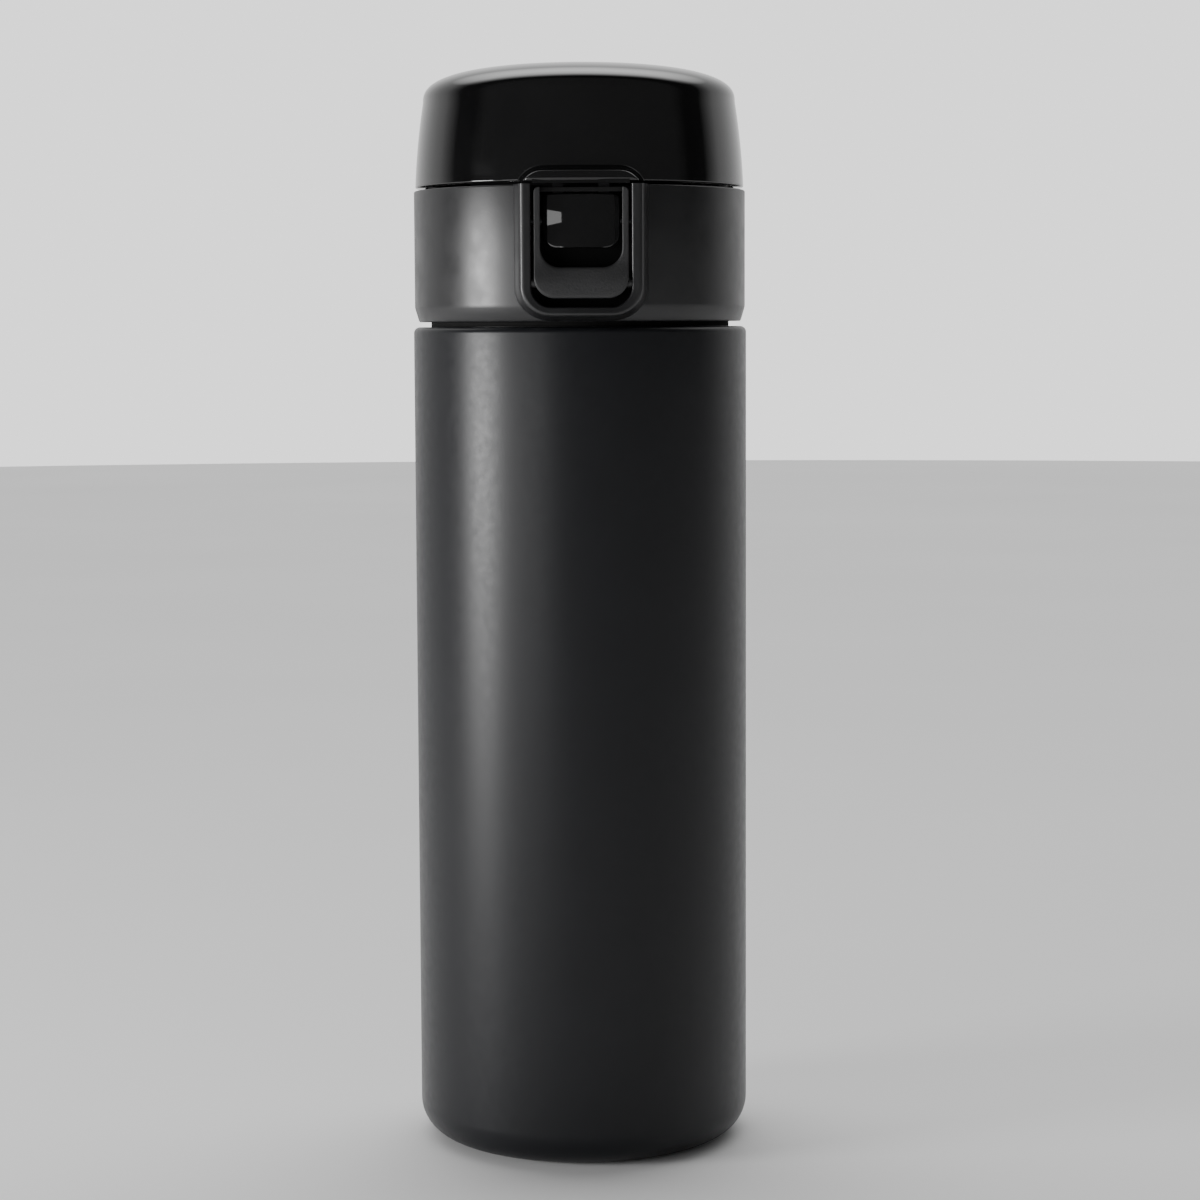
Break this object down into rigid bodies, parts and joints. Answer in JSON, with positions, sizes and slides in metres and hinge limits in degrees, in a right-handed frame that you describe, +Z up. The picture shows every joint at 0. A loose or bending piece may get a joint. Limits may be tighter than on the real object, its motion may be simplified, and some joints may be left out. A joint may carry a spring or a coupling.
{
  "type": "one-touch vacuum flask",
  "caption": "Double-walled steel vacuum flask with a screw-on cap, flip lid, front push-button latch, lock ring and round drinking spout.",
  "frame": {"origin": "centre of the base, on the surface that the flask stands on", "axes": "+Z up along the flask's axis, -Y towards the latch, +Y towards the lid's hinge, +X to the viewer's right"},
  "size_m": [0.0674, 0.072, 0.2179],
  "materials": {
    "painted_steel": "satin black paint",
    "bare_steel": "brushed",
    "spring_steel": "drawn wire",
    "copper_foil": "foil",
    "glass_frit": "fused bead",
    "getter_alloy": "sintered",
    "satin_plastic": "satin black",
    "gloss_plastic": "polished black",
    "matte_plastic": "fine texture",
    "inner_plastic": "smooth moulded",
    "silicone": "matt translucent grey"
  },
  "bodies": {
    "bottle": {"outer_shell": "painted_steel", "inner_vessel": "bare_steel", "radiation_foil": "copper_foil", "outer_bottom": "bare_steel", "vacuum_seal": "glass_frit", "getter": "getter_alloy", "base_cover": "bare_steel"},
    "cap_seal": {"neck_gasket": "silicone"},
    "cap": {"collar": "satin_plastic", "thread_ring": "inner_plastic", "mouthpiece": "inner_plastic", "hinge_pin": "bare_steel", "lid_spring": "spring_steel", "button_pin": "bare_steel", "button_spring": "spring_steel"},
    "lid": {"lid_shell": "gloss_plastic", "lid_liner": "inner_plastic", "lid_gasket": "silicone"},
    "button": {"push_button": "gloss_plastic"},
    "lock_ring": {"lock_ring": "matte_plastic"}
  },
  "joints": [
    {"name": "cap_lift", "type": "slide", "parent": "bottle", "child": "cap_seal", "axis": [0, 0, 1], "range_m": [0, 0.008]},
    {"name": "cap_turn", "type": "hinge", "parent": "cap_seal", "child": "cap", "pos_m": [0, 0, 0.182], "axis": [0, 0, 1], "range_deg": [0, 720]},
    {"name": "lid_hinge", "type": "hinge", "parent": "cap", "child": "lid", "pos_m": [0, 0.03365, 0.1932], "axis": [-1, 0, 0], "range_deg": [0, 115], "deforming": ["lid_spring"]},
    {"name": "button_press", "type": "hinge", "parent": "cap", "child": "button", "pos_m": [0, -0.03175, 0.1859], "axis": [1, 0, 0], "range_deg": [0, 14], "stiffness_Nm_per_rad": 0.02, "springref_deg": -17.19, "deforming": ["button_spring"]},
    {"name": "lock_swing", "type": "hinge", "parent": "cap", "child": "lock_ring", "pos_m": [0, -0.03385, 0.174], "axis": [1, 0, 0], "range_deg": [0, 30]}
  ],
  "couplings": [
    {"joint": "cap_turn", "follows": "cap_lift", "rad_per_m": 1570.8}
  ]
}
